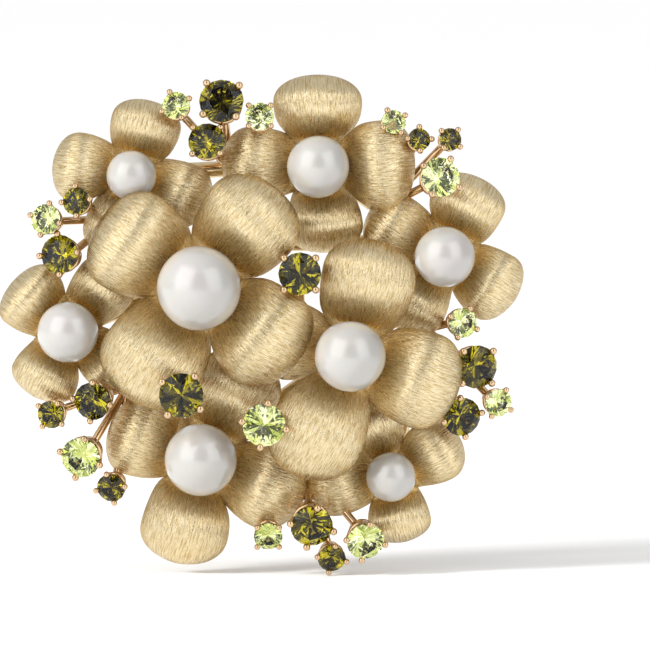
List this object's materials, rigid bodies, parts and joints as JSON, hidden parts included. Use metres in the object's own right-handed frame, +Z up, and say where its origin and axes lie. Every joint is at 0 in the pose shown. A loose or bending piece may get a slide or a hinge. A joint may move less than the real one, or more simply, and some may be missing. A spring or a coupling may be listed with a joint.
{
  "type": "brooch",
  "caption": "Openwork floral brooch with brushed gold petals, pearl centres, groups of claw-set round stones, a hinged back pin and a turning safety catch",
  "frame": {"origin": "middle of the pin's working length, on the pin's axis", "axes": "+X along the pin towards its point, +Z up as the brooch is worn, -Y towards the viewer, so the flowers face -Y and the pin is at the back"},
  "size_m": [0.0578, 0.0232, 0.0551],
  "materials": {
    "petals": "brushed",
    "hubs": "satin",
    "claws": "polished",
    "gallery": "polished",
    "findings": "polished",
    "pin_wire": "polished",
    "pearls": "lustrous",
    "dark_stones": "faceted",
    "light_stones": "faceted"
  },
  "bodies": {
    "brooch": {"gallery_rim": "gallery", "gallery_bars": "gallery", "pin_rail": "gallery", "hinge_base": "findings", "hinge_rivet": "findings", "catch_housing": "findings", "petals_centre_left": "petals", "petals_centre_right": "petals", "petals_right": "petals", "petals_left": "petals", "petals_lower_left": "petals", "petals_top": "petals", "petals_lower_right": "petals", "petals_upper_left": "petals", "hub_centre_left": "hubs", "hub_centre_right": "hubs", "hub_right": "hubs", "hub_left": "hubs", "hub_lower_left": "hubs", "hub_top": "hubs", "hub_lower_right": "hubs", "hub_upper_left": "hubs", "pearl_centre_left": "pearls", "pearl_centre_right": "pearls", "pearl_right": "pearls", "pearl_left": "pearls", "pearl_lower_left": "pearls", "pearl_top": "pearls", "pearl_lower_right": "pearls", "pearl_upper_left": "pearls", "claws_top_left": "claws", "claws_top_right": "claws", "claws_upper_left": "claws", "claws_lower_left": "claws", "claws_right": "claws", "claws_bottom": "claws", "claws_centre": "claws", "claws_inner_left": "claws", "claws_inner_low": "claws", "light_stones_top_left": "light_stones", "dark_stones_top_left": "dark_stones", "light_stones_top_right": "light_stones", "dark_stones_top_right": "dark_stones", "light_stones_upper_left": "light_stones", "dark_stones_upper_left": "dark_stones", "light_stones_lower_left": "light_stones", "dark_stones_lower_left": "dark_stones", "light_stones_right": "light_stones", "dark_stones_right": "dark_stones", "light_stones_bottom": "light_stones", "dark_stones_bottom": "dark_stones", "dark_stones_centre": "dark_stones", "dark_stones_inner_left": "dark_stones", "light_stones_inner_low": "light_stones"},
    "pin": {"pin_stem": "pin_wire"},
    "catch_rotor": {"catch_barrel": "findings"}
  },
  "joints": [
    {"name": "pin_hinge", "type": "hinge", "parent": "brooch", "child": "pin", "pos_m": [-0.014, 0, 0], "axis": [0, 0, 1], "range_deg": [0, 100]},
    {"name": "catch_turn", "type": "hinge", "parent": "brooch", "child": "catch_rotor", "pos_m": [0.014, 0, 0], "axis": [1, 0, 0], "range_deg": [0, 110]}
  ]
}
